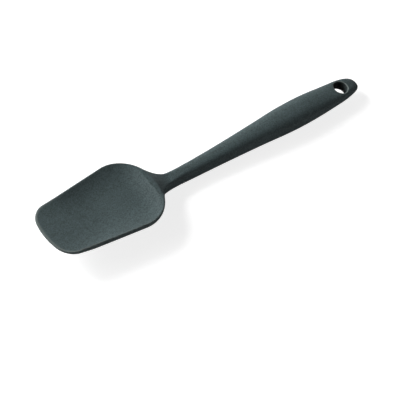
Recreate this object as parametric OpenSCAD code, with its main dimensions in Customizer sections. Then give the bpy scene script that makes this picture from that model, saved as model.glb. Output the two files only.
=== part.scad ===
// Silicone spatula: one silicone skin moulded round a stiff core.
// X runs along the tool with the blade's tip at minus X, Y across it, Z up.
// The middle of the underside's bounding box is the origin. Units are mm.

/* [Overall] */
// Length from the blade's tip to the end of the handle
overall_length = 210; // [180:1:250]
// Width across the blade's shoulders
blade_width = 40; // [34:0.5:48]
// Length from the tip to the crease behind the bowl
blade_length = 64.7; // [54:0.1:76]
// Height of the blade's rim above the table, at the crease
rim_height = 13.1; // [11.2:0.1:15.4]

/* [Blade] */
// Widening of each side of the blade for each mm of length
side_taper = 0.105; // [0.085:0.001:0.122]
// Depth of the bowl in the middle
bowl_depth = 3.2; // [2.6:0.1:3.8]
// Depth of the bowl at the tip
tip_depth = 0.65; // [0.55:0.05:0.8]
// Thickness of the blade's sides and rear
edge_thickness = 4.2; // [3.6:0.1:4.9]
// Reach of the rounding along the rim's upper edge
edge_reach = 1.15; // [1:0.05:1.35]
// Thickness of the tip's edge
tip_thickness = 1.3; // [1.1:0.05:1.6]
// Rise of the rim from the crease to the tip
tip_rise = 0.5; // [0.4:0.05:0.6]
// Length of the slope at the back of the bowl
rear_slope = 11; // [9:0.5:13]
// Width of the level band behind the crease
ridge_width = 2.3; // [2:0.1:2.6]

/* [Handle] */
// Widest width of the handle
handle_width = 15.5; // [13:0.1:18.4]
// Thickest part of the handle
handle_height = 10.6; // [9:0.1:12.6]
// Thickness of the neck
neck_height = 7.9; // [6.7:0.1:9.4]
// Thickness of the handle at the hanging hole
end_height = 6.6; // [5.6:0.1:7.8]
// Length of the flare from the crease to the neck
flare_length = 18.6; // [15.8:0.2:22.2]
// Rise of the underside towards the end of the handle
end_lift = 2; // [1.7:0.1:2.4]
// Depth of the flat that the tool rests on, cut into the rounded underside
rest_depth = 0.2; // [0.17:0.01:0.24]

/* [Hanging hole] */
// Diameter of the hanging hole
hole_diameter = 7.9; // [6.6:0.1:8.4]
// Distance from the hole's middle to the end of the handle
hole_inset = 12.2; // [10.6:0.1:14.4]
// Radius of the rounded rims of the hole
hole_rim = 0.6; // [0.5:0.05:0.7]

/* [Stiff core] */
// Thickness of the tongue inside the blade
tongue_thickness = 1.2; // [1:0.05:1.4]
// Width of the tongue inside the blade
tongue_width = 24; // [20:0.5:28]
// Diameter of the keying holes in the tongue
key_diameter = 4; // [3.4:0.1:4.6]
// Thickness of the bar inside the handle
bar_thickness = 3.2; // [2.7:0.1:3.8]
// Skin left at each side of the bar
bar_skin = 1.9; // [1.6:0.05:2.2]
// Width of the slots in the bar
slot_width = 4; // [3.4:0.1:4.7]

/* [Hidden] */
$fn = 64;

silicone_colour = "#3e4a4c";
core_colour = "#8d9392";

// Rows and columns of the skin
column_count = 28;
tip_rows = 13;
bowl_rows = 9;
slope_rows = 6;
flare_rows = 14;
handle_rows = 24;
end_rows = 11;

// Half of a circle's turn and a quarter turn, in degrees
half_turn = 180;
quarter_turn = 90;
half = 0.5;

// Blade outline: a bowed tip, two round corners, tapered sides and round shoulders
tip_arc_share = 0.875;
corner_share = 0.26;
shoulder_share = 0.464;
shoulder_back_share = 0.783;
tip_radius = tip_arc_share * blade_width;
corner_radius = corner_share * blade_width;
shoulder_radius = shoulder_share * blade_width;
shoulder_u = blade_length - shoulder_back_share * shoulder_radius;
shoulder_v = blade_width * half - shoulder_radius;
slant = sqrt(1 + side_taper * side_taper);
side_v0 = shoulder_v - side_taper * shoulder_u + shoulder_radius * slant;
side_end_u = shoulder_u - shoulder_radius * side_taper / slant;

// Middle of the round corner, touching the tip's arc and the side from inside
along = [1 / slant, side_taper / slant];
outwards = [-side_taper / slant, 1 / slant];
inset_start = [-corner_radius * outwards[0] - tip_radius, side_v0 - corner_radius * outwards[1]];
inset_along = inset_start * along;
inset_gap = inset_start * inset_start - pow(tip_radius - corner_radius, 2);
inset_run = -inset_along - sqrt(inset_along * inset_along - inset_gap);
corner_mid = [inset_start[0] + tip_radius, inset_start[1]] + inset_run * along;
corner_end = corner_mid + corner_radius * outwards;
tip_angle = atan2(corner_mid[1], tip_radius - corner_mid[0]);
corner_angle = atan2(outwards[1], -outwards[0]);
tip_arc_run = tip_radius * tip_angle;
corner_arc_run = corner_radius * (corner_angle - tip_angle);
tip_run = tip_arc_run + corner_arc_run;

// Handle outline, as shares of its length and of its widest width
neck_u = blade_length + flare_length;
handle_length = overall_length - neck_u;
station_shares = [0, 0.078, 0.1875, 0.3125, 0.453, 0.578, 0.703, 0.828, 0.922];
width_shares = [0.249, 0.271, 0.302, 0.352, 0.417, 0.487, 0.499, 0.444, 0.338];
last_station = len(station_shares) - 1;
stations = [for (s = station_shares) neck_u + s * handle_length];
half_widths = [for (s = width_shares) s * handle_width];
end_u = stations[last_station];
end_half_width = half_widths[last_station];
bend_share = 0.117;
bend_u = end_u - bend_share * handle_length;

// Shaping shares: where one form eases into the next
flare_slope_share = 1.14;
depth_share = 0.53;
edge_share = 0.32;
edge_power = 2.6;
bent_share = 0.46;
bowl_power = 2.7;
keel_start_share = 0.43;
keel_reach_share = 0.57;
keel_width_share = 0.11;
keel_growth_share = 0.075;
back_slope_share = 0.75;
back_slope_power = 1.34;
ridge_soft_share = 0.12;
row_power = 1.6;
neck_power = 2.5;
handle_power = 2.3;
flare_reach_share = 1.6;
belly_power = 0.3;
end_power = 1.6;
end_round_power = 1.57;
end_outline_power = 2.59;
swell_start_share = 0.0625;
swell_run_share = 0.547;
taper_start_share = 0.648;
taper_run_share = 0.3125;
lift_start_share = 0.609;
lift_run_share = 0.39;
power_start_share = 0.0625;
power_run_share = 0.3125;
shoulder_crest = shoulder_radius * sqrt(1 - shoulder_back_share * shoulder_back_share);
crease_half = shoulder_v + shoulder_crest;
crease_slope = -shoulder_back_share * shoulder_radius / shoulder_crest;

function clip(x) = max(0, min(1, x));
function ease(x) = clip(x) * clip(x) * (3 - 2 * clip(x));
function mix(a, b, k) = a + (b - a) * k;
function root(x) = sqrt(max(0, x));

// Smooth curve through values at two ends with given slopes
function curve(a, b, sa, sb, run, x) =
    a * (1 - 3 * x * x + 2 * x * x * x)
    + run * sa * (x - 2 * x * x + x * x * x)
    + b * (3 * x * x - 2 * x * x * x)
    + run * sb * (x * x * x - x * x);

function station_slope(i) =
    i == 0 ? 0
    : i == last_station
    ? (half_widths[i] - half_widths[i - 1]) / (stations[i] - stations[i - 1])
    : (half_widths[i + 1] - half_widths[i - 1]) / (stations[i + 1] - stations[i - 1]);

function handle_piece(u, i) =
    curve(half_widths[i], half_widths[i + 1], station_slope(i), station_slope(i + 1),
        stations[i + 1] - stations[i],
        (u - stations[i]) / (stations[i + 1] - stations[i]));

function handle_half(u, i) =
    i >= last_station - 1 || u <= stations[i + 1] ? handle_piece(u, i) : handle_half(u, i + 1);

function shoulder_half(u) =
    shoulder_v + root(shoulder_radius * shoulder_radius - pow(u - shoulder_u, 2));

function flare_half(u) =
    curve(crease_half, half_widths[0], crease_slope * flare_slope_share, 0,
        flare_length, (u - blade_length) / flare_length);

// Half-width of the tool at distance u from the tip
function half_width(u) =
    u < side_end_u ? side_v0 + side_taper * u
    : u < blade_length ? shoulder_half(u)
    : u < neck_u ? flare_half(u)
    : handle_half(min(u, end_u), 0);

// Point of the tip's outline, for t from -1 to 1
function tip_outline(t) =
    let (run = abs(t) * tip_run)
    let (side = sign(t))
    let (first = run / tip_radius)
    let (second = tip_angle + (run - tip_arc_run) / corner_radius)
    run <= tip_arc_run
    ? [tip_radius - tip_radius * cos(first), side * tip_radius * sin(first)]
    : [corner_mid[0] - corner_radius * cos(second),
        side * (corner_mid[1] + corner_radius * sin(second))];

// Point of the handle end's outline, for t from -1 to 1
function end_outline(t) =
    [end_u + (overall_length - end_u) * pow(abs(cos(t * quarter_turn)), 2 / end_outline_power),
        sign(t) * end_half_width * pow(abs(sin(t * quarter_turn)), 2 / end_outline_power)];

// Distance inwards from the blade's outline
function side_gap(u, v) = (side_v0 + side_taper * u - v) / slant;
function shoulder_gap(u, v) = shoulder_radius - norm([u - shoulder_u, v - shoulder_v]);
function tip_gap(u, v) = tip_radius - norm([min(0, u - tip_radius), v]);
function corner_gap(u, v) = corner_radius - norm([u - corner_mid[0], v - corner_mid[1]]);
function in_corner(u, v) =
    let (a = atan2(v - corner_mid[1], corner_mid[0] - u))
    a > tip_angle && a < corner_angle;
function edge_gap(u, v) =
    let (front = in_corner(u, v) ? corner_gap(u, v) : min(side_gap(u, v), tip_gap(u, v)))
    let (back = u > side_end_u && v > shoulder_v ? shoulder_gap(u, v) : front)
    max(0, min(front, back));

// Drop of the round lower edge, of radius e, at distance d inside the outline
function lower_drop(d, e) = let (x = clip(1 - d / e)) e * (1 - root(1 - x * x));

// Drop of the crisper upper edge, which turns down within edge_reach
function upper_drop(d, e) =
    let (x = clip(1 - d / min(edge_reach, e)))
    e * (1 - pow(1 - pow(x, edge_power), 1 / edge_power));

// Underside: a keel under the bowl that grows into the neck
function keel_grow(u) = ease((u - keel_start_share * blade_length) / (keel_reach_share * neck_u));
function keel(u, v, w) =
    let (k = keel_grow(u))
    let (wide = blade_width * (keel_width_share + keel_growth_share * k))
    let (x = min(1, v / w))
    k * pow(max(0, 1 - x * x), pow(w / wide, 2));

function blade_heights(u, v) =
    let (w = half_width(u))
    let (x = min(1, v / w))
    let (deep = mix(tip_depth, bowl_depth, ease(u / (depth_share * blade_length))))
    let (back = clip((blade_length - u) / rear_slope))
    let (rim_z = rim_height + tip_rise * pow(1 - u / blade_length, 3))
    let (floor_z = rim_z - deep * (1 - pow(1 - back, 2)) * (1 - pow(x, bowl_power)))
    let (e = half * mix(tip_thickness, edge_thickness, ease(u / (edge_share * blade_length))))
    let (gap = edge_gap(u, v))
    let (k = keel(u, v, w))
    [floor_z - upper_drop(gap, e),
        (floor_z - 2 * e + lower_drop(gap, e)) * (1 - k) - rest_depth * k];

function section_half(u) =
    let (s = (u - neck_u) / handle_length)
    half * (neck_height
        + (handle_height - neck_height) * ease((s - swell_start_share) / swell_run_share)
        - (handle_height - end_height) * ease((s - taper_start_share) / taper_run_share));

function lift(u) =
    end_lift * ease((u - neck_u - lift_start_share * handle_length) / (lift_run_share * handle_length));

// Round section: x is the share of the half-width, r the share of the end's reach
function round_off(x, p) = pow(max(0, 1 - pow(min(1, x), p)), 1 / p);

// The flare's upper edge is as crisp as the rim's, and grows round towards the handle
function top_share(u, x) =
    let (grown = pow(ease((u - blade_length) / (flare_reach_share * flare_length)), 2))
    clip(1 - (1 - x) / mix(min(1, edge_reach / half_width(u)), 1, grown));

function handle_heights(u, x, r) =
    let (s = (u - neck_u) / handle_length)
    let (flare = 1 - ease((u - blade_length) / flare_length))
    let (ended = ease((u - bend_u) / (overall_length - bend_u)))
    let (p = mix(neck_power, handle_power, ease((s - power_start_share) / power_run_share))
        + end_power * ended)
    let (b = section_half(u))
    let (g = b * round_off(r, end_round_power))
    let (mid = b + lift(u) - rest_depth)
    [mid + g * round_off(top_share(u, x), p),
        mid - g * round_off(x, p - belly_power * flare)];

// Behind the crease the blade's section eases into the neck's
function back_heights(u, v) =
    let (w = half_width(u))
    let (rise = (half_width(u + half) - half_width(u)) / half)
    let (e = half * edge_thickness)
    let (gap = (w - v) / sqrt(1 + rise * rise))
    let (k = keel(u, v, w))
    [rim_height - upper_drop(gap, e),
        (rim_height - 2 * e + lower_drop(gap, e)) * (1 - k) - rest_depth * k];

// How far the slope behind the crease has come, from 0 to 1, for a share x of it
function back_slope(x) = 1 - pow(1 - clip(x), back_slope_power);

// The upper slope starts softly behind a level band that narrows towards the sides
function upper_slope(u, v) =
    let (y = min(1, v / half_width(u)))
    let (band = ridge_width * (1 - y * y))
    let (x = clip((u - blade_length - band) / (back_slope_share * flare_length - band)))
    let (start = x < ridge_soft_share
        ? x * x / (2 * ridge_soft_share)
        : x - ridge_soft_share * half)
    back_slope(start / (1 - ridge_soft_share * half));

function heights(u, v, x, r) =
    let (k = [upper_slope(u, v), back_slope((u - blade_length) / (back_slope_share * flare_length))])
    let (back = back_heights(u, v))
    let (handle = handle_heights(u, x, r))
    u <= blade_length ? blade_heights(u, v)
    : k[0] < 1 || k[1] < 1
    ? [for (i = [0, 1]) (1 - k[i]) * back[i] + k[i] * handle[i]]
    : handle;

// Each row: its distance along the side, its bend to the tip and its bend to the end
rows = concat(
    [for (i = [0:tip_rows])
        let (x = i / tip_rows)
        [mix(corner_end[0], bent_share * blade_length, pow(x, row_power)), 1 - ease(x), 0]],
    [for (i = [1:bowl_rows])
        [mix(bent_share * blade_length, blade_length - rear_slope, i / bowl_rows), 0, 0]],
    [for (i = [1:slope_rows]) [blade_length - rear_slope * (1 - i / slope_rows), 0, 0]],
    [for (i = [1:flare_rows]) [blade_length + flare_length * i / flare_rows, 0, 0]],
    [for (i = [1:handle_rows]) [mix(neck_u, bend_u, i / handle_rows), 0, 0]],
    [for (i = [1:end_rows])
        let (x = i / end_rows)
        [mix(bend_u, end_u, 1 - pow(1 - x, row_power)), 0, ease(x)]]);
last_row = len(rows) - 1;
columns = [for (j = [0:column_count]) -cos(half_turn * j / column_count)];

function plan(row, t) =
    let (u = row[0])
    let (w = half_width(u))
    let (a = row[1] > 0 ? tip_outline(t) : [0, 0])
    let (b = row[2] > 0 ? end_outline(t) : [0, 0])
    let (c = 1 - row[1] - row[2])
    [row[1] * (a[0] + u - corner_end[0]) + row[2] * (b[0] + u - end_u) + c * u,
        row[1] * a[1] * w / corner_end[1] + row[2] * b[1] * w / end_half_width + c * t * w];

// How far a row's middle has come round the end of the handle, from 0 to 1
function row_reach(row) = clip((row[0] - end_u) / (overall_length - end_u) + row[2]);

function skin_point(row, j) =
    let (up = j <= column_count)
    let (p = plan(row, columns[up ? j : 2 * column_count - j]))
    let (t = columns[up ? j : 2 * column_count - j])
    let (h = heights(p[0], abs(p[1]), abs(t), row_reach(row)))
    let (rim = j == 0 || j == column_count)
    [p[0] - overall_length * half, p[1], rim ? half * (h[0] + h[1]) : h[up ? 0 : 1]];

// The first and last rows are single lines, the others are closed rings
ring_size = 2 * column_count;
skin_points = concat(
    [for (j = [0:column_count]) skin_point(rows[0], j)],
    [for (i = [1:last_row - 1]) for (j = [0:ring_size - 1]) skin_point(rows[i], j)],
    [for (j = [0:column_count]) skin_point(rows[last_row], j)]);

function ring_index(i, j) =
    let (k = j % ring_size)
    let (start = i == 0 ? 0 : column_count + 1 + (i - 1) * ring_size)
    start + (i > 0 && i < last_row ? k : k <= column_count ? k : ring_size - k);

skin_faces = [
    for (i = [0:last_row - 1])
        for (j = [0:ring_size - 1])
            for (side = [0, 1])
                side == 0
                ? [ring_index(i, j), ring_index(i, j + 1), ring_index(i + 1, j + 1)]
                : [ring_index(i, j), ring_index(i + 1, j + 1), ring_index(i + 1, j)]];

module skin() {
    polyhedron(points = skin_points, faces = skin_faces, convexity = 8);
}

// Hanging hole with rounded rims
hole_radius = hole_diameter * half;
hole_x = overall_length * half - hole_inset;
hole_u = overall_length - hole_inset;
hole_level_share = 0.65;
hole_side = hole_level_share * hole_radius;
hole_edge = heights(hole_u, hole_side, hole_side / half_width(hole_u), 0);
hole_top = hole_edge[0];
hole_bottom = hole_edge[1];

// The rims lean with the skin, which slopes along the handle
hole_front = heights(hole_u - hole_radius, 0, 0, 0);
hole_reach = clip((hole_u + hole_radius - end_u) / (overall_length - end_u));
hole_back = heights(hole_u + hole_radius, 0, 0, hole_reach);
top_lean = atan2(hole_back[0] - hole_front[0], 2 * hole_radius);
bottom_lean = atan2(hole_back[1] - hole_front[1], 2 * hole_radius);
clearance = 2;

// A shallow skim round the rim takes off the little of the skin that stands above it
skim_reach = 2;
skim_rise = 0.15;

module rim_profile() {
    difference() {
        union() {
            translate([hole_radius - hole_rim, 0])
                square([2 * hole_rim, hole_rim + clearance]);
            translate([hole_radius + hole_rim, hole_rim])
                polygon([[0, 0], [skim_reach, skim_rise], [skim_reach, clearance], [0, clearance]]);
        }
        translate([hole_radius + hole_rim, 0])
            circle(r = hole_rim);
    }
}

module hanging_hole() {
    translate([hole_x, 0, -clearance])
        cylinder(r = hole_radius, h = rim_height + clearance);
    translate([hole_x, 0, hole_top])
        rotate([0, -top_lean, 0])
            translate([0, 0, -hole_rim])
                rotate_extrude()
                    rim_profile();
    translate([hole_x, 0, hole_bottom])
        rotate([0, -bottom_lean, 0])
            translate([0, 0, hole_rim])
                mirror([0, 0, 1])
                    rotate_extrude()
                        rim_profile();
}

// Everything below the table is cut away, which leaves the flat the tool rests on
module below_table() {
    translate([-overall_length, -blade_width, -blade_width])
        cube([2 * overall_length, 2 * blade_width, blade_width]);
}

// Core: flat tongue in the blade
tongue_front_share = 0.45;
tongue_back_share = 0.94;
tongue_nose_share = 0.32;
tongue_wide_share = 0.66;
tongue_level_share = 0.38;
tongue_corner_share = 0.16;
tongue_z = rim_height - bowl_depth - tongue_level_share * edge_thickness;
tongue_front = tongue_front_share * blade_length - overall_length * half;
tongue_back = tongue_back_share * blade_length - overall_length * half;
tongue_wide = tongue_wide_share * blade_length - overall_length * half;
tongue_corner = tongue_corner_share * tongue_width;
tongue_nose = tongue_nose_share * tongue_width;
tongue_half = tongue_width * half;

module tongue_plan() {
    polygon([
        [tongue_front, -tongue_nose + tongue_corner],
        [tongue_front + tongue_corner, -tongue_nose],
        [tongue_wide, -tongue_half],
        [tongue_back - tongue_corner, -tongue_half],
        [tongue_back, -tongue_half + tongue_corner],
        [tongue_back, tongue_half - tongue_corner],
        [tongue_back - tongue_corner, tongue_half],
        [tongue_wide, tongue_half],
        [tongue_front + tongue_corner, tongue_nose],
        [tongue_front, tongue_nose - tongue_corner]]);
}

// Keying holes, as shares of the tongue's length and half-width
key_shares = [[0.2, 0], [0.52, 0.5], [0.52, -0.5], [0.8, 0.5], [0.8, -0.5]];

module tongue() {
    translate([0, 0, tongue_z - tongue_thickness * half])
        difference() {
            linear_extrude(height = tongue_thickness)
                tongue_plan();
            for (k = key_shares)
                translate([mix(tongue_front, tongue_back, k[0]), k[1] * tongue_half, -clearance])
                    cylinder(d = key_diameter, h = tongue_thickness + 2 * clearance);
        }
}

// Core: bar in the handle, following the handle's outline inside an even skin
bar_level_share = 0.58;
bar_start_share = 0.02;
bar_z = bar_level_share * neck_height;
bar_start = neck_u + bar_start_share * handle_length;
bar_gap = 2.4;
bar_stop = overall_length - hole_inset - hole_radius - hole_rim - bar_gap;
bar_steps = 16;

function bar_edge(side) =
    [for (i = [0:bar_steps])
        let (u = mix(bar_start, bar_stop, side > 0 ? 1 - i / bar_steps : i / bar_steps))
        [u - overall_length * half, side * (half_width(u) - bar_skin)]];

module slot(from, to) {
    translate([from, -slot_width * half, -clearance])
        cube([to - from, slot_width, bar_thickness + 2 * clearance]);
    for (x = [from, to])
        translate([x, 0, -clearance])
            cylinder(d = slot_width, h = bar_thickness + 2 * clearance);
}

// Ends of the slots, as shares of the bar's length
slot_shares = [[0.34, 0.46], [0.55, 0.67], [0.76, 0.88]];

module bar() {
    translate([0, 0, bar_z - bar_thickness * half])
        difference() {
            linear_extrude(height = bar_thickness)
                polygon(concat(bar_edge(-1), bar_edge(1)));
            for (s = slot_shares)
                slot(mix(bar_start, bar_stop, s[0]) - overall_length * half,
                    mix(bar_start, bar_stop, s[1]) - overall_length * half);
        }
}

// Core: sloped strap through the neck that joins the tongue to the bar
strap_width = 2 * (half_widths[0] - bar_skin);
strap_front_share = 0.4;
strap_knee_share = 0.92;
strap_heel_share = 0.1;
strap_front = mix(tongue_front, tongue_back, strap_front_share);
strap_knee = strap_knee_share * blade_length - overall_length * half;
strap_end = mix(bar_start, bar_stop, strap_heel_share) - overall_length * half;
strap_fall_share = 0.3;
strap_heel = neck_u - strap_fall_share * flare_length - overall_length * half;

module strap() {
    translate([0, strap_width * half, 0])
        rotate([quarter_turn, 0, 0])
            linear_extrude(height = strap_width)
                polygon([
                    [strap_front, tongue_z - tongue_thickness * half],
                    [strap_knee, tongue_z - bar_thickness * half - tongue_thickness * half],
                    [strap_heel, bar_z - bar_thickness * half],
                    [strap_end, bar_z - bar_thickness * half],
                    [strap_end, bar_z + bar_thickness * half],
                    [strap_heel, bar_z + bar_thickness * half],
                    [strap_knee, tongue_z + tongue_thickness * half],
                    [strap_front, tongue_z + tongue_thickness * half]]);
}

module core_shape() {
    tongue();
    strap();
    bar();
}

module silicone_body() {
    color(silicone_colour)
        difference() {
            skin();
            hanging_hole();
            below_table();
            core_shape();
        }
}

module stiff_core() {
    color(core_colour)
        union() {
            core_shape();
        }
}

silicone_body();
stiff_core();
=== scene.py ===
# %% [markdown]
# # A silicone spatula
# The real tool is one silicone skin moulded round a stiff core. The skin has
# a shallow scoop at one end, a narrow neck, and a rounded handle with a hole
# to hang it by. This notebook builds a fine, smooth copy of that skin over
# the plain CAD solid, gives both pieces their finish, and lights them softly
# on a pale table. The CAD model is loaded first, because it fixes where
# everything goes.

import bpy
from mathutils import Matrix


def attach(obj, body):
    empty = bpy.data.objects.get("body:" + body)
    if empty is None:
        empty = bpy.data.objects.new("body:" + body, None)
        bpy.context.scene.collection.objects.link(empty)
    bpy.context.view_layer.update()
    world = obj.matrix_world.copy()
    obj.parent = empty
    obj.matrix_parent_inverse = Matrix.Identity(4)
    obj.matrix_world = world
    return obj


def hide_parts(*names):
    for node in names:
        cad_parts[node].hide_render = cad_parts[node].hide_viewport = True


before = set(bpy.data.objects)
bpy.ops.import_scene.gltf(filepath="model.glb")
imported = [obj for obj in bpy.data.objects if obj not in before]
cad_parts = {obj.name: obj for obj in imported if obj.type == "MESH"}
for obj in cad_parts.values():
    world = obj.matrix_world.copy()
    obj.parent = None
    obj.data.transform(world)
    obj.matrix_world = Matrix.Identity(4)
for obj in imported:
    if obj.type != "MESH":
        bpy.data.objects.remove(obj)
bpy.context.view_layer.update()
print("nodes:", sorted(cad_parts))

# %% Tools for the lesson
import math

import bmesh
import bpy
import numpy as np
from mathutils import Matrix, Vector

MM = 0.001

# %% [markdown]
# ## Sizes
# A maker draws this tool from a few sizes in millimetres: how long and wide
# it is, how deep the scoop is, how thick the edge and the handle are. The
# same numbers shaped the CAD solid, so the fine skin fits over it exactly.
# Along the tool, `u` is the distance from the blade's tip, and across it `v`
# is the distance from the middle line.

# %% Main sizes
overall_length = 210.0
blade_width = 40.0
blade_length = 64.7
rim_height = 13.1
side_taper = 0.105
bowl_depth = 3.2
tip_depth = 0.65
edge_thickness = 4.2
edge_reach = 1.15
tip_thickness = 1.3
tip_rise = 0.5
rear_slope = 11.0
ridge_width = 2.3

handle_width = 15.5
handle_height = 10.6
neck_height = 7.9
end_height = 6.6
flare_length = 18.6
end_lift = 2.0
rest_depth = 0.2

hole_radius = 3.95
hole_inset = 12.2
hole_rim = 0.6

# %% Places that follow from the sizes
neck_u = blade_length + flare_length
handle_length = overall_length - neck_u
hole_u = overall_length - hole_inset
print("neck at", round(neck_u, 1), "mm and hole at", round(hole_u, 1), "mm from the tip")

# %% [markdown]
# A few pure numbers say how the forms blend into each other. A share is a
# part of some length, such as the blade's or the handle's. A power says how
# full a curve is: 2 gives a circle or an ellipse, and more gives a squarer one.

# %% Shares and powers
flare_slope_share = 1.14
depth_share = 0.53
edge_share = 0.32
edge_power = 2.6
bowl_power = 2.7
keel_start_share = 0.43
keel_reach_share = 0.57
keel_width_share = 0.11
keel_growth_share = 0.075
back_slope_share = 0.75
back_slope_power = 1.34
ridge_soft_share = 0.12
flare_reach_share = 1.6
neck_power = 2.5
handle_power = 2.3
belly_power = 0.3
end_power = 1.6
end_round_power = 1.57
end_outline_power = 2.59
swell_start_share = 0.0625
swell_run_share = 0.547
taper_start_share = 0.648
taper_run_share = 0.3125
lift_start_share = 0.609
lift_run_share = 0.39
power_start_share = 0.0625
power_run_share = 0.3125
print("the handle swells from", round(neck_u + swell_start_share * handle_length, 1), "mm on")

# %% Small helpers for smooth blends
def clip(x):
    return np.clip(x, 0.0, 1.0)


def ease(x):
    x = clip(x)
    return x * x * (3 - 2 * x)


def mix(a, b, share):
    return a + (b - a) * share


def arc(start, end, start_slope, end_slope, run, x):
    """A smooth curve between two values, leaving and arriving at given slopes."""
    return (start * (1 - 3 * x**2 + 2 * x**3) + run * start_slope * (x - 2 * x**2 + x**3)
            + end * (3 * x**2 - 2 * x**3) + run * end_slope * (x**3 - x**2))


# %% [markdown]
# ## The outline seen from above
# From above the blade has a slightly bowed tip, two round corners, sides
# that widen towards the back, and round shoulders that run into the neck.
# One way is to trace it by hand with a curve. Here it is worked out from
# radii that touch each other, as a draughtsman would do it, because then the
# corners meet the sides without a kink.

# %% Radii of the blade's outline
tip_radius = 0.875 * blade_width
corner_radius = 0.26 * blade_width
shoulder_radius = 0.464 * blade_width
shoulder_back = 0.783
shoulder_u = blade_length - shoulder_back * shoulder_radius
shoulder_v = blade_width / 2 - shoulder_radius
slant = math.hypot(1, side_taper)
side_start = shoulder_v - side_taper * shoulder_u + shoulder_radius * slant
side_end_u = shoulder_u - shoulder_radius * side_taper / slant

along = np.array([1, side_taper]) / slant
outwards = np.array([-side_taper, 1]) / slant
inset = np.array([-corner_radius * outwards[0] - tip_radius,
                  side_start - corner_radius * outwards[1]])
reach = inset @ inset - (tip_radius - corner_radius) ** 2
run = -inset @ along - math.sqrt((inset @ along) ** 2 - reach)
corner_mid = inset + [tip_radius, 0] + run * along
corner_end = corner_mid + corner_radius * outwards
tip_angle = math.atan2(corner_mid[1], tip_radius - corner_mid[0])
corner_angle = math.atan2(outwards[1], -outwards[0])
tip_run = tip_radius * tip_angle
corner_run = corner_radius * (corner_angle - tip_angle)
crest = shoulder_radius * math.sqrt(1 - shoulder_back**2)
print("round corner ends", corner_end.round(2), "mm from the tip and the middle")

# %% Half-widths of the handle at chosen stations
station_shares = np.array([0, 0.078, 0.1875, 0.3125, 0.453, 0.578, 0.703, 0.828, 0.922])
width_shares = np.array([0.249, 0.271, 0.302, 0.352, 0.417, 0.487, 0.499, 0.444, 0.338])
stations = neck_u + station_shares * handle_length
halves = width_shares * handle_width
slopes = np.zeros(len(halves))
slopes[1:-1] = (halves[2:] - halves[:-2]) / (stations[2:] - stations[:-2])
slopes[-1] = (halves[-1] - halves[-2]) / (stations[-1] - stations[-2])
end_u = stations[-1]
end_half = halves[-1]
bend_u = end_u - 0.117 * handle_length


def half_width(u):
    """Half of the tool's width at distance u from the tip."""
    side = side_start + side_taper * u
    shoulder = shoulder_v + np.sqrt(np.maximum(0, shoulder_radius**2 - (u - shoulder_u) ** 2))
    leaving = -flare_slope_share * shoulder_back * shoulder_radius / crest
    flare = arc(shoulder_v + crest, halves[0], leaving, 0, flare_length,
                (u - blade_length) / flare_length)
    at = np.clip(u, neck_u, end_u)
    i = np.clip(np.searchsorted(stations, at, side="right") - 1, 0, len(stations) - 2)
    gap = stations[i + 1] - stations[i]
    handle = arc(halves[i], halves[i + 1], slopes[i], slopes[i + 1], gap, (at - stations[i]) / gap)
    return np.where(u < side_end_u, side,
                    np.where(u < blade_length, shoulder, np.where(u < neck_u, flare, handle)))


shown_u = np.array([corner_end[0], shoulder_u, blade_length, neck_u, hole_u])
print("half-widths:", half_width(shown_u).round(2), "at", shown_u.round(1))

# %% [markdown]
# ## Rows and columns over the outline
# The skin starts as a flat grid. Its rows cross the tool and its columns run
# along it. The first rows bend to follow the blade's tip and the last ones
# bend round the end of the handle, so that no row is cut off by the outline.
# Columns are packed more closely near the sides, where the skin turns over.

# %% How many rows each stretch gets
stretches = [("tip", 52), ("bowl", 34), ("slope", 26), ("flare", 48), ("handle", 96), ("end", 96)]
marks = np.concatenate([[0], np.cumsum([count for _, count in stretches])])
tip_row = marks[1]
end_row = marks[5]
row_total = int(marks[-1])
column_total = 96
bowl_u = 0.46 * blade_length
turns = [bowl_u, blade_length - rear_slope, blade_length, neck_u, bend_u]
row_power = 1.6
print(row_total, "rows and", column_total, "columns")


def row_place(row):
    """Distance u of a row on the sides, and how far it bends to the tip and the end."""
    tip_part = clip(row / tip_row)
    end_part = clip((row - end_row) / (row_total - end_row))
    u = np.interp(row, marks[1:-1], turns)
    u = np.where(row < tip_row, mix(corner_end[0], bowl_u, tip_part**row_power), u)
    u = np.where(row > end_row, mix(bend_u, end_u, 1 - (1 - end_part) ** row_power), u)
    return u, 1 - ease(tip_part), ease(end_part)


def plan(row, t):
    """Place of a grid point from above: u along the tool and v across it, for t from -1 to 1."""
    u, to_tip, to_end = row_place(row)
    width = half_width(u)
    length = np.abs(t) * (tip_run + corner_run)
    first = length / tip_radius
    second = tip_angle + (length - tip_run) / corner_radius
    on_tip = length <= tip_run
    tip_u = np.where(on_tip, tip_radius * (1 - np.cos(first)),
                     corner_mid[0] - corner_radius * np.cos(second))
    tip_v = np.sign(t) * np.where(on_tip, tip_radius * np.sin(first),
                                  corner_mid[1] + corner_radius * np.sin(second))
    quarter = np.pi / 2 * t
    fullness = 2 / end_outline_power
    reach_u = (overall_length - end_u) * np.abs(np.cos(quarter)) ** fullness
    end_v = np.sign(t) * end_half * np.abs(np.sin(quarter)) ** fullness
    straight = 1 - to_tip - to_end
    return (u + to_tip * (tip_u - corner_end[0]) + to_end * reach_u,
            to_tip * tip_v * width / corner_end[1] + to_end * end_v * width / end_half
            + straight * t * width)


# %% [markdown]
# ## Heights of the two faces
# The top face is a scoop with a raised round rim, then a ridge, then a slope
# down to the neck and a rounded handle. The underside has a soft keel under
# the scoop that grows into the neck. The heights blend from one form to the
# next with smooth steps, the way silicone flows in a mould with no corners.

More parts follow.
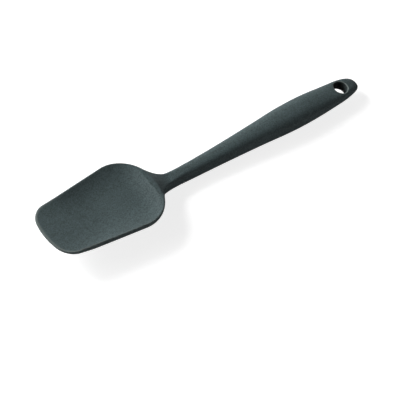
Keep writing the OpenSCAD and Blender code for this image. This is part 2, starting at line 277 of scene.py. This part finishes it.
# %% Heights of the blade
def edge_gap(u, v):
    """Distance inwards from the blade's outline."""
    side = (side_start + side_taper * u - v) / slant
    tip = tip_radius - np.hypot(np.minimum(0, u - tip_radius), v)
    angle = np.arctan2(v - corner_mid[1], corner_mid[0] - u)
    corner = corner_radius - np.hypot(u - corner_mid[0], v - corner_mid[1])
    front = np.where((angle > tip_angle) & (angle < corner_angle), corner, np.minimum(side, tip))
    shoulder = shoulder_radius - np.hypot(u - shoulder_u, v - shoulder_v)
    back = np.where((u > side_end_u) & (v > shoulder_v), shoulder, front)
    return np.maximum(0, np.minimum(front, back))


def upper_drop(gap, half):
    """How far the crisp upper edge has dropped at that distance inside the outline."""
    x = clip(1 - gap / np.minimum(edge_reach, half))
    return half * (1 - (1 - x**edge_power) ** (1 / edge_power))


def lower_drop(gap, half):
    """The same for the lower edge, which is fully round."""
    x = clip(1 - gap / half)
    return half * (1 - np.sqrt(1 - x * x))


def keel(u, v, width):
    """The keel under the scoop, from 0 to 1."""
    grown = ease((u - keel_start_share * blade_length) / (keel_reach_share * neck_u))
    wide = blade_width * (keel_width_share + keel_growth_share * grown)
    x = np.minimum(1, v / width)
    return grown * np.maximum(0, 1 - x * x) ** ((width / wide) ** 2)


def blade_faces(u, v):
    """Heights of the top and the underside of the scoop."""
    width = half_width(u)
    x = np.minimum(1, v / width)
    deep = mix(tip_depth, bowl_depth, ease(u / (depth_share * blade_length)))
    back = clip((blade_length - u) / rear_slope)
    rim = rim_height + tip_rise * clip(1 - u / blade_length) ** 3
    floor = rim - deep * (1 - (1 - back) ** 2) * (1 - x**bowl_power)
    half = 0.5 * mix(tip_thickness, edge_thickness, ease(u / (edge_share * blade_length)))
    gap = edge_gap(u, v)
    under = keel(u, v, width)
    return (floor - upper_drop(gap, half),
            (floor - 2 * half + lower_drop(gap, half)) * (1 - under) - rest_depth * under)


# %% Heights of the handle and of the flare between the two
def round_off(x, power):
    """A rounded section's height at x, from 1 in the middle to 0 at the side."""
    return np.maximum(0, 1 - np.minimum(1, x) ** power) ** (1 / power)


def handle_faces(u, x, beyond):
    """x is the share of the half-width, beyond the share of the way round the end."""
    s = (u - neck_u) / handle_length
    flare = 1 - ease((u - blade_length) / flare_length)
    grown = ease((u - blade_length) / (flare_reach_share * flare_length)) ** 2
    share = mix(np.minimum(1, edge_reach / half_width(u)), 1, grown)
    top_x = clip(1 - (1 - x) / share)
    ended = ease((u - bend_u) / (overall_length - bend_u))
    fuller = ease((s - power_start_share) / power_run_share)
    power = mix(neck_power, handle_power, fuller) + end_power * ended
    swell = ease((s - swell_start_share) / swell_run_share)
    taper = ease((s - taper_start_share) / taper_run_share)
    half = 0.5 * (neck_height + (handle_height - neck_height) * swell
                  - (handle_height - end_height) * taper)
    lift = end_lift * ease((s - lift_start_share) / lift_run_share)
    middle = half + lift - rest_depth
    thick = half * round_off(beyond, end_round_power)
    return (middle + thick * round_off(top_x, power),
            middle - thick * round_off(x, power - belly_power * flare))


def ridge_faces(u, v):
    """What the blade's section would be behind the ridge, before it eases into the neck."""
    width = half_width(u)
    step = 0.5
    rise = (half_width(u + step) - width) / step
    half = 0.5 * edge_thickness
    gap = (width - v) / np.hypot(1, rise)
    under = keel(u, v, width)
    return (rim_height - upper_drop(gap, half),
            (rim_height - 2 * half + lower_drop(gap, half)) * (1 - under) - rest_depth * under)


def back_slope(x):
    """How far the slope behind the crease has come, from 0 to 1."""
    return 1 - (1 - clip(x)) ** back_slope_power


def upper_slope(u, v):
    """The upper slope, which starts softly behind a level band that narrows to the sides."""
    band = ridge_width * (1 - np.minimum(1, v / half_width(u)) ** 2)
    x = clip((u - blade_length - band) / (back_slope_share * flare_length - band))
    soft = ridge_soft_share
    start = np.where(x < soft, x * x / (2 * soft), x - soft / 2)
    return back_slope(start / (1 - soft / 2))


def faces(u, v, x, beyond):
    """Heights of the top and the underside."""
    v = np.abs(v)
    blends = [upper_slope(u, v), back_slope((u - blade_length) / (back_slope_share * flare_length))]
    handle = handle_faces(u, x, beyond)
    ridge = ridge_faces(u, v)
    blade = blade_faces(u, v)
    return [np.where(u <= blade_length, b, (1 - k) * r + k * h)
            for b, r, h, k in zip(blade, ridge, handle, blends)]


def surface(row, t):
    """Where a grid point ends up: u, v and its two heights."""
    u, v = plan(row, t)
    side_u, _, to_end = row_place(row)
    beyond = clip((side_u - end_u) / (overall_length - end_u) + to_end)
    top, under = faces(u, v, np.abs(t), beyond)
    return u, v, top, under


# %% [markdown]
# ## A closed sheet
# The skin is one flat grid extruded once, which gives a top face, an
# underside and a thin wall round the outline. Drawing the grid first keeps
# every later step simple, because a point's place in the grid says where it
# belongs on the tool.

# %% Draw the grid and give it a second face
bm = bmesh.new()
bmesh.ops.create_grid(bm, x_segments=row_total, y_segments=column_total, size=0.5)
extruded = bmesh.ops.extrude_face_region(bm, geom=bm.faces[:])
risen = [g for g in extruded["geom"] if isinstance(g, bmesh.types.BMVert)]
bmesh.ops.translate(bm, verts=risen, vec=(0, 0, 1))
low = Vector([min(v.co[k] for v in bm.verts) for k in range(3)])
high = Vector([max(v.co[k] for v in bm.verts) for k in range(3)])
for vert in bm.verts:
    vert.co = [(vert.co[k] - low[k]) / (high[k] - low[k]) * (row_total, column_total, 1)[k]
               for k in range(3)]
print(len(bm.verts), "points on two faces, from", low[:], "to", high[:])

# %% [markdown]
# ## The hanging hole
# The hole is a round bore with softly rounded rims. A boolean cut would
# leave ragged triangles round it, so a block of the grid is taken out of
# both faces instead and the two openings are bridged. Later the block's
# edge is pushed out to a circle and the bridge is shaped to rim and wall.

# %% Find the block of the grid that the hole takes
rim_reach = hole_radius + hole_rim
middle_u = plan(np.arange(row_total + 1.0), np.zeros(row_total + 1))[0]
first_row = int(np.argmin(np.abs(middle_u - (hole_u - rim_reach))))
last_row = int(np.argmin(np.abs(middle_u - (hole_u + rim_reach))))
hole_row = int(np.argmin(np.abs(middle_u - hole_u)))
column_t = -np.cos(np.pi * np.arange(column_total + 1) / column_total)
across = plan(np.full(column_total + 1, float(hole_row)), column_t)[1]
first_column = int(np.argmin(np.abs(across + rim_reach)))
last_column = column_total - first_column
print("block: rows", first_row, "to", last_row, "and columns", first_column, "to", last_column)

# %% Take the block out and bridge the two openings
block = [f for f in bm.faces
         if abs(f.normal.z) > 0.5
         and first_row < f.calc_center_median().x < last_row
         and first_column < f.calc_center_median().y < last_column]
bmesh.ops.delete(bm, geom=block, context="FACES")
bridged = bmesh.ops.bridge_loops(bm, edges=[e for e in bm.edges if e.is_boundary])
upright = [e for e in bridged["edges"] if abs(e.verts[0].co.z - e.verts[1].co.z) > 0.5]
rim_steps = 8
wall_steps = 4
wall_rings = 2 * rim_steps + wall_steps
bmesh.ops.subdivide_edges(bm, edges=upright, cuts=wall_rings - 1, use_grid_fill=True)
print(len(upright), "upright edges cut into", wall_rings, "steps")


# %% [markdown]
# ## Shaping the skin
# Now every point is moved to its place. Round the hole the points are first
# slid so that the edge of the square block becomes a circle. The slide dies
# away with distance, so the outline and the rest of the handle stay put.

# %% Slide the points round the hole
fade_rows = 20


def grid_place(u, v, row, t):
    """The row and t of a point of the handle's end, given its place from above.

    It is Newton's method. Each try goes at most half of the way to the outline,
    so none jumps past it.
    """
    tries = 24
    step = 1e-4
    flattest = 1e-9
    row_margin = 1e-3
    for _ in range(tries):
        at_u, at_v = plan(row, t)
        ru, rv = plan(row + step, t)
        tu, tv = plan(row, t + step)
        a, b, c, d = (ru - at_u) / step, (tu - at_u) / step, (rv - at_v) / step, (tv - at_v) / step
        det = a * d - b * c
        det = np.where(np.abs(det) < flattest, flattest, det)
        off_u, off_v = u - at_u, v - at_v
        row = np.clip(row + (d * off_u - b * off_v) / det, end_row, row_total - row_margin)
        limit = 0.5 + 0.5 * np.abs(t)
        t = np.clip(t + (a * off_v - c * off_u) / det, -limit, limit)
    return row, t


def t_of(column):
    return -np.cos(np.pi * column / column_total)


def slide(row, column):
    """Row and t of a grid point, slid away from the hole's block.

    The slide is worked out once, at the nearest point of the block's edge, and
    fades in rows and t. Near the outline two rows can meet at one place from
    above, so a slide in millimetres could pick the wrong one there.
    """
    t = t_of(column)
    near_row = np.clip(row, first_row, last_row)
    near_t = t_of(np.clip(column, first_column, last_column))
    edge_u, edge_v = plan(near_row, near_t)
    angle = np.arctan2(edge_v, edge_u - hole_u)
    round_row, round_t = grid_place(hole_u + rim_reach * np.cos(angle),
                                    rim_reach * np.sin(angle), near_row, near_t)
    along_fade = 1 - ease(np.maximum(first_row - row, row - last_row) / fade_rows)
    across_fade = ease((1 - np.abs(t)) / (1 - abs(t_of(first_column))))
    fade = along_fade * across_fade
    return row + fade * (round_row - near_row), t + fade * (round_t - near_t)


# %% Move every point to its place on the tool
grid = np.array([v.co for v in bm.verts])
row, column, level = grid.T
level_slack = 1e-4
on_face = (level < level_slack) | (level > 1 - level_slack)
slid_row, slid_t = slide(row, column)
u, v, top, under = surface(slid_row, slid_t)
print(int((slid_t != t_of(column)).sum()), "points slid round the hole")

# %% Shape the rims and the wall of the hole
ring = ~on_face
angle = np.arctan2(v[ring], u[ring] - hole_u)
turn_share = 1 - np.abs(2 * level[ring] - 1)
turned = np.minimum(1, turn_share * wall_rings / (2 * rim_steps)) * np.pi / 2
radius = rim_reach - hole_rim * np.sin(turned)
ring_u = hole_u + radius * np.cos(angle)
ring_v = radius * np.sin(angle)
ring_row, ring_t = grid_place(ring_u, ring_v, slid_row[ring], slid_t[ring])
_, _, ring_top, ring_under = surface(ring_row, ring_t)
drop = hole_rim * (1 - np.cos(turned))
wall_share = clip((level[ring] * wall_rings - rim_steps) / wall_steps)
wall_height = mix(ring_under + drop, ring_top - drop, wall_share)
u[ring], v[ring] = ring_u, ring_v
print("bore wall from", wall_height[wall_share == 0].max().round(2),
      "to", wall_height[wall_share == 1].min().round(2), "mm")

# %% [markdown]
# ## Marks for painted light and shade
# The scoop's thin rim and the lip of the hole get a painted highlight, and
# the hole's wall gets painted shade. Each point gets a number from 0 to 1 for
# each of the three, and the silicone's material reads them.

# %% Mark the painted highlights on the thin rim and the hole's lip, and the painted shade on its wall
rim_inset = 0.65
rim_width = 0.55
rim_side_mark = 0.35
rim_tip_mark = 0.6
off_underside = 0.01
rim_gap = edge_gap(u, np.abs(v))
near_tip = 1 - ease(u / bowl_u)
on_blade = 1 - ease((u - shoulder_u) / (blade_length - shoulder_u))
rim_line = np.exp(-((rim_gap - rim_inset) / rim_width) ** 2)
rim_strength = rim_side_mark + rim_tip_mark * near_tip
# The thin rim's mark is a painted highlight along the blade's edge.
painted_rim_highlight = rim_line * on_blade * rim_strength * (level > off_underside)
# The wall's mark is painted shade inside the hole.
painted_bore_shade = np.zeros(len(u))
painted_bore_shade[ring] = ease(turned / (np.pi / 2))
# The lip's mark is a painted highlight on the rounded rim of the hole.
painted_lip_highlight = np.zeros(len(u))
painted_lip_highlight[ring] = np.sin(2 * turned)
marks_by_name = {"painted_rim_highlight": painted_rim_highlight, "painted_bore_shade": painted_bore_shade, "painted_lip_highlight": painted_lip_highlight}
for name, values in marks_by_name.items():
    layer = bm.verts.layers.float.new(name)
    for vert, value in zip(bm.verts, values):
        vert[layer] = value
print("marks:", {name: int(np.count_nonzero(values)) for name, values in marks_by_name.items()})

# %% [markdown]
# ## The parting line
# The two halves of a mould leave a very faint line where they meet. Here it
# follows the outline, halfway between the top face and the underside.

# %% Set the heights, draw the line and close the outline
outline = (column < 0.5) | (column > column_total - 0.5) | (row < 0.5) | (row > row_total - 0.5)
middle = 0.5 * (top + under)
height = np.where(level > 0.5, top, under)
height[ring] = wall_height
height[outline] = middle[outline]
line_height = 0.03
merge_distance = 0.001
outwards_v = np.where(column < 0.5, -1.0, np.where(column > column_total - 0.5, 1.0, 0.0))
v = v + line_height * outwards_v
places = np.stack([u - overall_length / 2, v, height], axis=1)
for vert, place in zip(bm.verts, places):
    vert.co = place
bmesh.ops.remove_doubles(bm, verts=bm.verts[:], dist=merge_distance)
print(len(bm.verts), "points after the outline is closed")

# %% [markdown]
# ## The flat it rests on
# The underside of the handle is round, and a tool that lies still touches
# the table along a narrow flat. The skin is cut along the table's level and
# what hangs below is pressed flat, which gives a clean edge to that strip.

# %% Press the underside flat
geometry = bm.verts[:] + bm.edges[:] + bm.faces[:]
table_slack = 1e-5
bmesh.ops.bisect_plane(bm, geom=geometry, dist=table_slack, plane_co=(0, 0, 0), plane_no=(0, 0, 1))
below = [vert for vert in bm.verts if vert.co.z < 0]
for vert in below:
    vert.co.z = 0
print(len(below), "points pressed onto the table")

# %% Make the skin an object in metres
bmesh.ops.recalc_face_normals(bm, faces=bm.faces[:])
bmesh.ops.scale(bm, verts=bm.verts[:], vec=(MM, MM, MM))
quad_corners = 4
bmesh.ops.triangulate(bm, faces=[f for f in bm.faces if len(f.verts) > quad_corners])
for face in bm.faces:
    face.smooth = True
mesh = bpy.data.meshes.new("silicone_skin")
bm.to_mesh(mesh)
print("skin:", len(mesh.polygons), "faces; volume", round(bm.calc_volume() / MM**3), "mm3; open edges",
      sum(e.is_boundary for e in bm.edges))
bm.free()
skin = bpy.data.objects.new("silicone_skin", mesh)
bpy.context.scene.collection.objects.link(skin)
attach(skin, "root")
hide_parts("silicone_body")


# %% [markdown]
# ## Finishes
# Finishes are node materials. Their sums are written as Python expressions
# with one small class, which keeps the recipes short enough to read.

# %% A wire that can be added and multiplied
class Wire:
    """A socket of a material. Sums and products of wires add Math nodes."""

    def __init__(self, tree, socket=None):
        self.tree = tree
        self.socket = socket

    def node(self, kind, settings=None, sockets=None, output=0):
        """Adds any other node: its settings first, then its sockets' values or links."""
        made = self.tree.nodes.new(kind)
        for name, value in (settings or {}).items():
            setattr(made, name, value)
        for name, value in (sockets or {}).items():
            if isinstance(value, Wire):
                self.tree.links.new(value.socket, made.inputs[name])
            else:
                made.inputs[name].default_value = value
        return Wire(self.tree, made.outputs[output])

    def maths(self, operation, first, second):
        return self.node("ShaderNodeMath", {"operation": operation}, {0: first, 1: second})

    def __add__(self, other):
        return self.maths("ADD", self, other)

    def __sub__(self, other):
        return self.maths("SUBTRACT", self, other)

    def __rsub__(self, other):
        return self.maths("SUBTRACT", other, self)

    def __mul__(self, other):
        return self.maths("MULTIPLY", self, other)

    __radd__ = __add__
    __rmul__ = __mul__


def new_material(name):
    """An empty material, its first wire and its output node."""
    material = bpy.data.materials.new(name)
    material.use_nodes = True
    tree = material.node_tree
    tree.nodes.clear()
    return material, Wire(tree), tree.nodes.new("ShaderNodeOutputMaterial")


# %% [markdown]
# ## Moulded silicone
# The silicone is charcoal with a green tinge and a soft, powdery
# gloss. Its mould was blasted, so the skin has a very fine grain, and a thin
# bloom makes the tone a little uneven. The grain goes into the bump and the
# colour, and the bloom into colour and roughness, because both belong to the
# skin and not to the light. The marks paint a highlight that makes the scoop's
# thin rim and the hole's lip a little lighter, and paint shade that makes the wall of the hole darker.

# %% Silicone material
silicone, wire, output = new_material("moulded_silicone")
where = wire.node("ShaderNodeTexCoord", output=3)


def noise(scale, detail, roughness=0.5):
    return wire.node("ShaderNodeTexNoise", {"noise_dimensions": "3D"},
                     {"Vector": where, "Scale": scale, "Detail": detail, "Roughness": roughness})


grain_scale, grain_contrast, grain_share = 1400.0, 3.0, 0.55
ripple_scale, ripple_contrast, ripple_share = 450.0, 2.0, 0.2
bloom_scale, bloom_share = 42.0, 0.25
dark_skin = (0.026, 0.037, 0.038, 1)
light_skin = (0.077, 0.109, 0.113, 1)
# The next three colours paint a highlight on the rim, a highlight on the hole's lip, and shade in the
# hole's wall.
rim_highlight_colour = (0.125, 0.146, 0.138, 1)
lip_highlight_colour = (0.18, 0.212, 0.205, 1)
bore_shade_colour = (0.008, 0.011, 0.011, 1)

grain = noise(grain_scale, 2.0, 0.6) * grain_contrast - 1.0
ripple = noise(ripple_scale, 2.0) * ripple_contrast - 0.5
bloom = noise(bloom_scale, 4.0, 0.6)
tone = grain * grain_share + ripple * ripple_share + bloom * bloom_share
colour = wire.node("ShaderNodeMix", {"data_type": "RGBA"},
                   {"Factor": tone, 6: dark_skin, 7: light_skin}, output=2)


def mark(name):
    return wire.node("ShaderNodeAttribute", {"attribute_name": name}, output=2)


def blend_colour(share, first, second):
    return wire.node("ShaderNodeMix", {"data_type": "RGBA"},
                     {"Factor": share, 6: first, 7: second}, output=2)


# Painted highlights on the thin rim and the hole's lip, and painted shade on the hole's wall.
colour = blend_colour(mark("painted_rim_highlight") * 0.85, colour, rim_highlight_colour)
colour = blend_colour(mark("painted_lip_highlight"), colour, lip_highlight_colour)
colour = blend_colour(mark("painted_bore_shade") * 0.75, colour, bore_shade_colour)
gloss = 0.64 + bloom * 0.08 - grain * 0.02
bumps = wire.node("ShaderNodeBump", None,
                  {"Strength": 0.5, "Distance": 0.00008, "Height": grain * 0.7 + ripple * 0.3})
shader = wire.node("ShaderNodeBsdfPrincipled", None,
                   {"Base Color": colour, "Roughness": gloss, "Normal": bumps,
                    "IOR": 1.42, "Specular IOR Level": 0.3,
                    "Sheen Weight": 0.03, "Sheen Roughness": 0.5})
silicone.node_tree.links.new(shader.socket, output.inputs["Surface"])
skin.data.materials.append(silicone)
print("silicone:", len(silicone.node_tree.nodes), "nodes")

# %% [markdown]
# ## The core's nylon
# The core is sealed in, so it shows only where someone opens the assembly.
# It is plain moulded nylon, a shade lighter than the skin, with a faint
# flow grain along the bar where the plastic ran in the mould.

# %% Core material
nylon, wire, output = new_material("core_nylon")
where = wire.node("ShaderNodeTexCoord", output=3)
stretched = wire.node("ShaderNodeMapping", None, {"Vector": where, "Scale": (0.15, 1.0, 1.0)})
flow = wire.node("ShaderNodeTexNoise", {"noise_dimensions": "3D"},
                 {"Vector": stretched, "Scale": 900.0, "Detail": 3.0})
dark_nylon = (0.25, 0.27, 0.265, 1)
light_nylon = (0.30, 0.32, 0.315, 1)
colour = wire.node("ShaderNodeMix", {"data_type": "RGBA"},
                   {"Factor": flow, 6: dark_nylon, 7: light_nylon}, output=2)
bumps = wire.node("ShaderNodeBump", None, {"Strength": 0.3, "Distance": 0.00005, "Height": flow})
shader = wire.node("ShaderNodeBsdfPrincipled", None,
                   {"Base Color": colour, "Roughness": 0.45 + flow * 0.12, "Normal": bumps})
nylon.node_tree.links.new(shader.socket, output.inputs["Surface"])
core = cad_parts["stiff_core"]
core.data.materials.clear()
core.data.materials.append(nylon)
print("core:", len(nylon.node_tree.nodes), "nodes")

# %% [markdown]
# ## Table and backdrop
# The photo stands the tool on pure white. A pale table that only the camera
# sees a little brighter gives that white without shining more light on the
# tool, and it still keeps the tool's soft shadow.

# %% Table
bm = bmesh.new()
table_half_size = 2.5
bmesh.ops.create_grid(bm, x_segments=1, y_segments=1, size=table_half_size)
table_mesh = bpy.data.meshes.new("table_top")
bm.to_mesh(table_mesh)
bm.free()
table = bpy.data.objects.new("table_top", table_mesh)
bpy.context.scene.collection.objects.link(table)

pale, wire, output = new_material("pale_table")
seen = wire.node("ShaderNodeLightPath")
matt = wire.node("ShaderNodeBsdfDiffuse", None, {"Color": (0.5, 0.5, 0.5, 1)})
glow = wire.node("ShaderNodeEmission", None, {"Color": (1, 1, 1, 1), "Strength": seen * 0.8})
both = wire.node("ShaderNodeAddShader", None, {0: matt, 1: glow})
pale.node_tree.links.new(both.socket, output.inputs["Surface"])
table.data.materials.append(pale)

# %% Backdrop
world = bpy.data.worlds.new("studio")
bpy.context.scene.world = world
world.use_nodes = True
world.node_tree.nodes.clear()
wire = Wire(world.node_tree)
output = world.node_tree.nodes.new("ShaderNodeOutputWorld")
seen = wire.node("ShaderNodeLightPath")
room = 0.02
sky = wire.node("ShaderNodeBackground", None,
                {"Color": (1, 1, 1, 1), "Strength": room + seen * (1.0 - room)})
world.node_tree.links.new(sky.socket, output.inputs["Surface"])


# %% [markdown]
# ## Light
# The far edge of the handle and the near half of the scoop are the light
# parts in the photo, and the near sides are dark. So the main light is a
# soft window behind the tool on the blade's side, with a lower lamp under it
# that skims the skin. Two weak lamps to its sides soften it, and a weak fill
# from the front keeps the near sides from going black.

# %% Soft lights
lamp_distance = 1.2
lamp_size = 0.5


def soft_light(name, azimuth, elevation, power):
    """A square lamp that looks at the tool's middle. Azimuth 0 is +Y, 90 is +X."""
    data = bpy.data.lights.new(name, "AREA")
    data.shape = "SQUARE"
    data.size = lamp_size
    data.energy = power
    lamp = bpy.data.objects.new(name, data)
    a, e = math.radians(azimuth), math.radians(elevation)
    towards = Vector((math.sin(a) * math.cos(e), math.cos(a) * math.cos(e), math.sin(e)))
    lamp.location = towards * lamp_distance
    lamp.rotation_mode = "QUATERNION"
    lamp.rotation_quaternion = lamp.location.to_track_quat("Z", "Y")
    bpy.context.scene.collection.objects.link(lamp)
    print(name, "at azimuth", azimuth, "and elevation", elevation, "with", power, "watts")


soft_light("window_light", -30, 30, 19.5)
soft_light("low_light", -30, 12, 5.5)
soft_light("side_light", -60, 30, 3.2)
soft_light("edge_light", 30, 12, 1.8)
soft_light("front_fill", 150, 12, 2.9)

# %% [markdown]
# ## Camera
# The camera looks down at the tool from over the blade's near side, turned
# a little so that the handle runs to the upper right. Its place was solved
# from the outline in the photo. A long lens keeps the two ends at nearly the
# same scale.

# %% Camera
solved_angles = (-55.4173, 50.763, 20.1222)
solved_place = (-2.691, -17.216, -1014.7856)
azimuth, elevation, roll = (math.radians(x) for x in solved_angles)
forward = Vector((-math.sin(azimuth) * math.cos(elevation),
                  math.cos(azimuth) * math.cos(elevation), -math.sin(elevation)))
level_right = Vector((math.cos(azimuth), math.sin(azimuth), 0))
level_up = level_right.cross(forward)
right = math.cos(roll) * level_right + math.sin(roll) * level_up
upward = -math.sin(roll) * level_right + math.cos(roll) * level_up
eye = (solved_place[0] * right + solved_place[1] * upward + solved_place[2] * forward) * MM
lens = bpy.data.cameras.new("camera")
lens.lens = 180
lens.sensor_width = 36
lens.clip_start = 0.01
lens.clip_end = 20
camera = bpy.data.objects.new("camera", lens)
turn = Matrix((right, upward, -forward)).transposed().to_4x4()
camera.matrix_world = Matrix.Translation(eye) @ turn
bpy.context.scene.collection.objects.link(camera)
bpy.context.scene.camera = camera
bpy.context.scene.view_settings.view_transform = "Standard"
print("camera at", [round(x, 3) for x in eye])
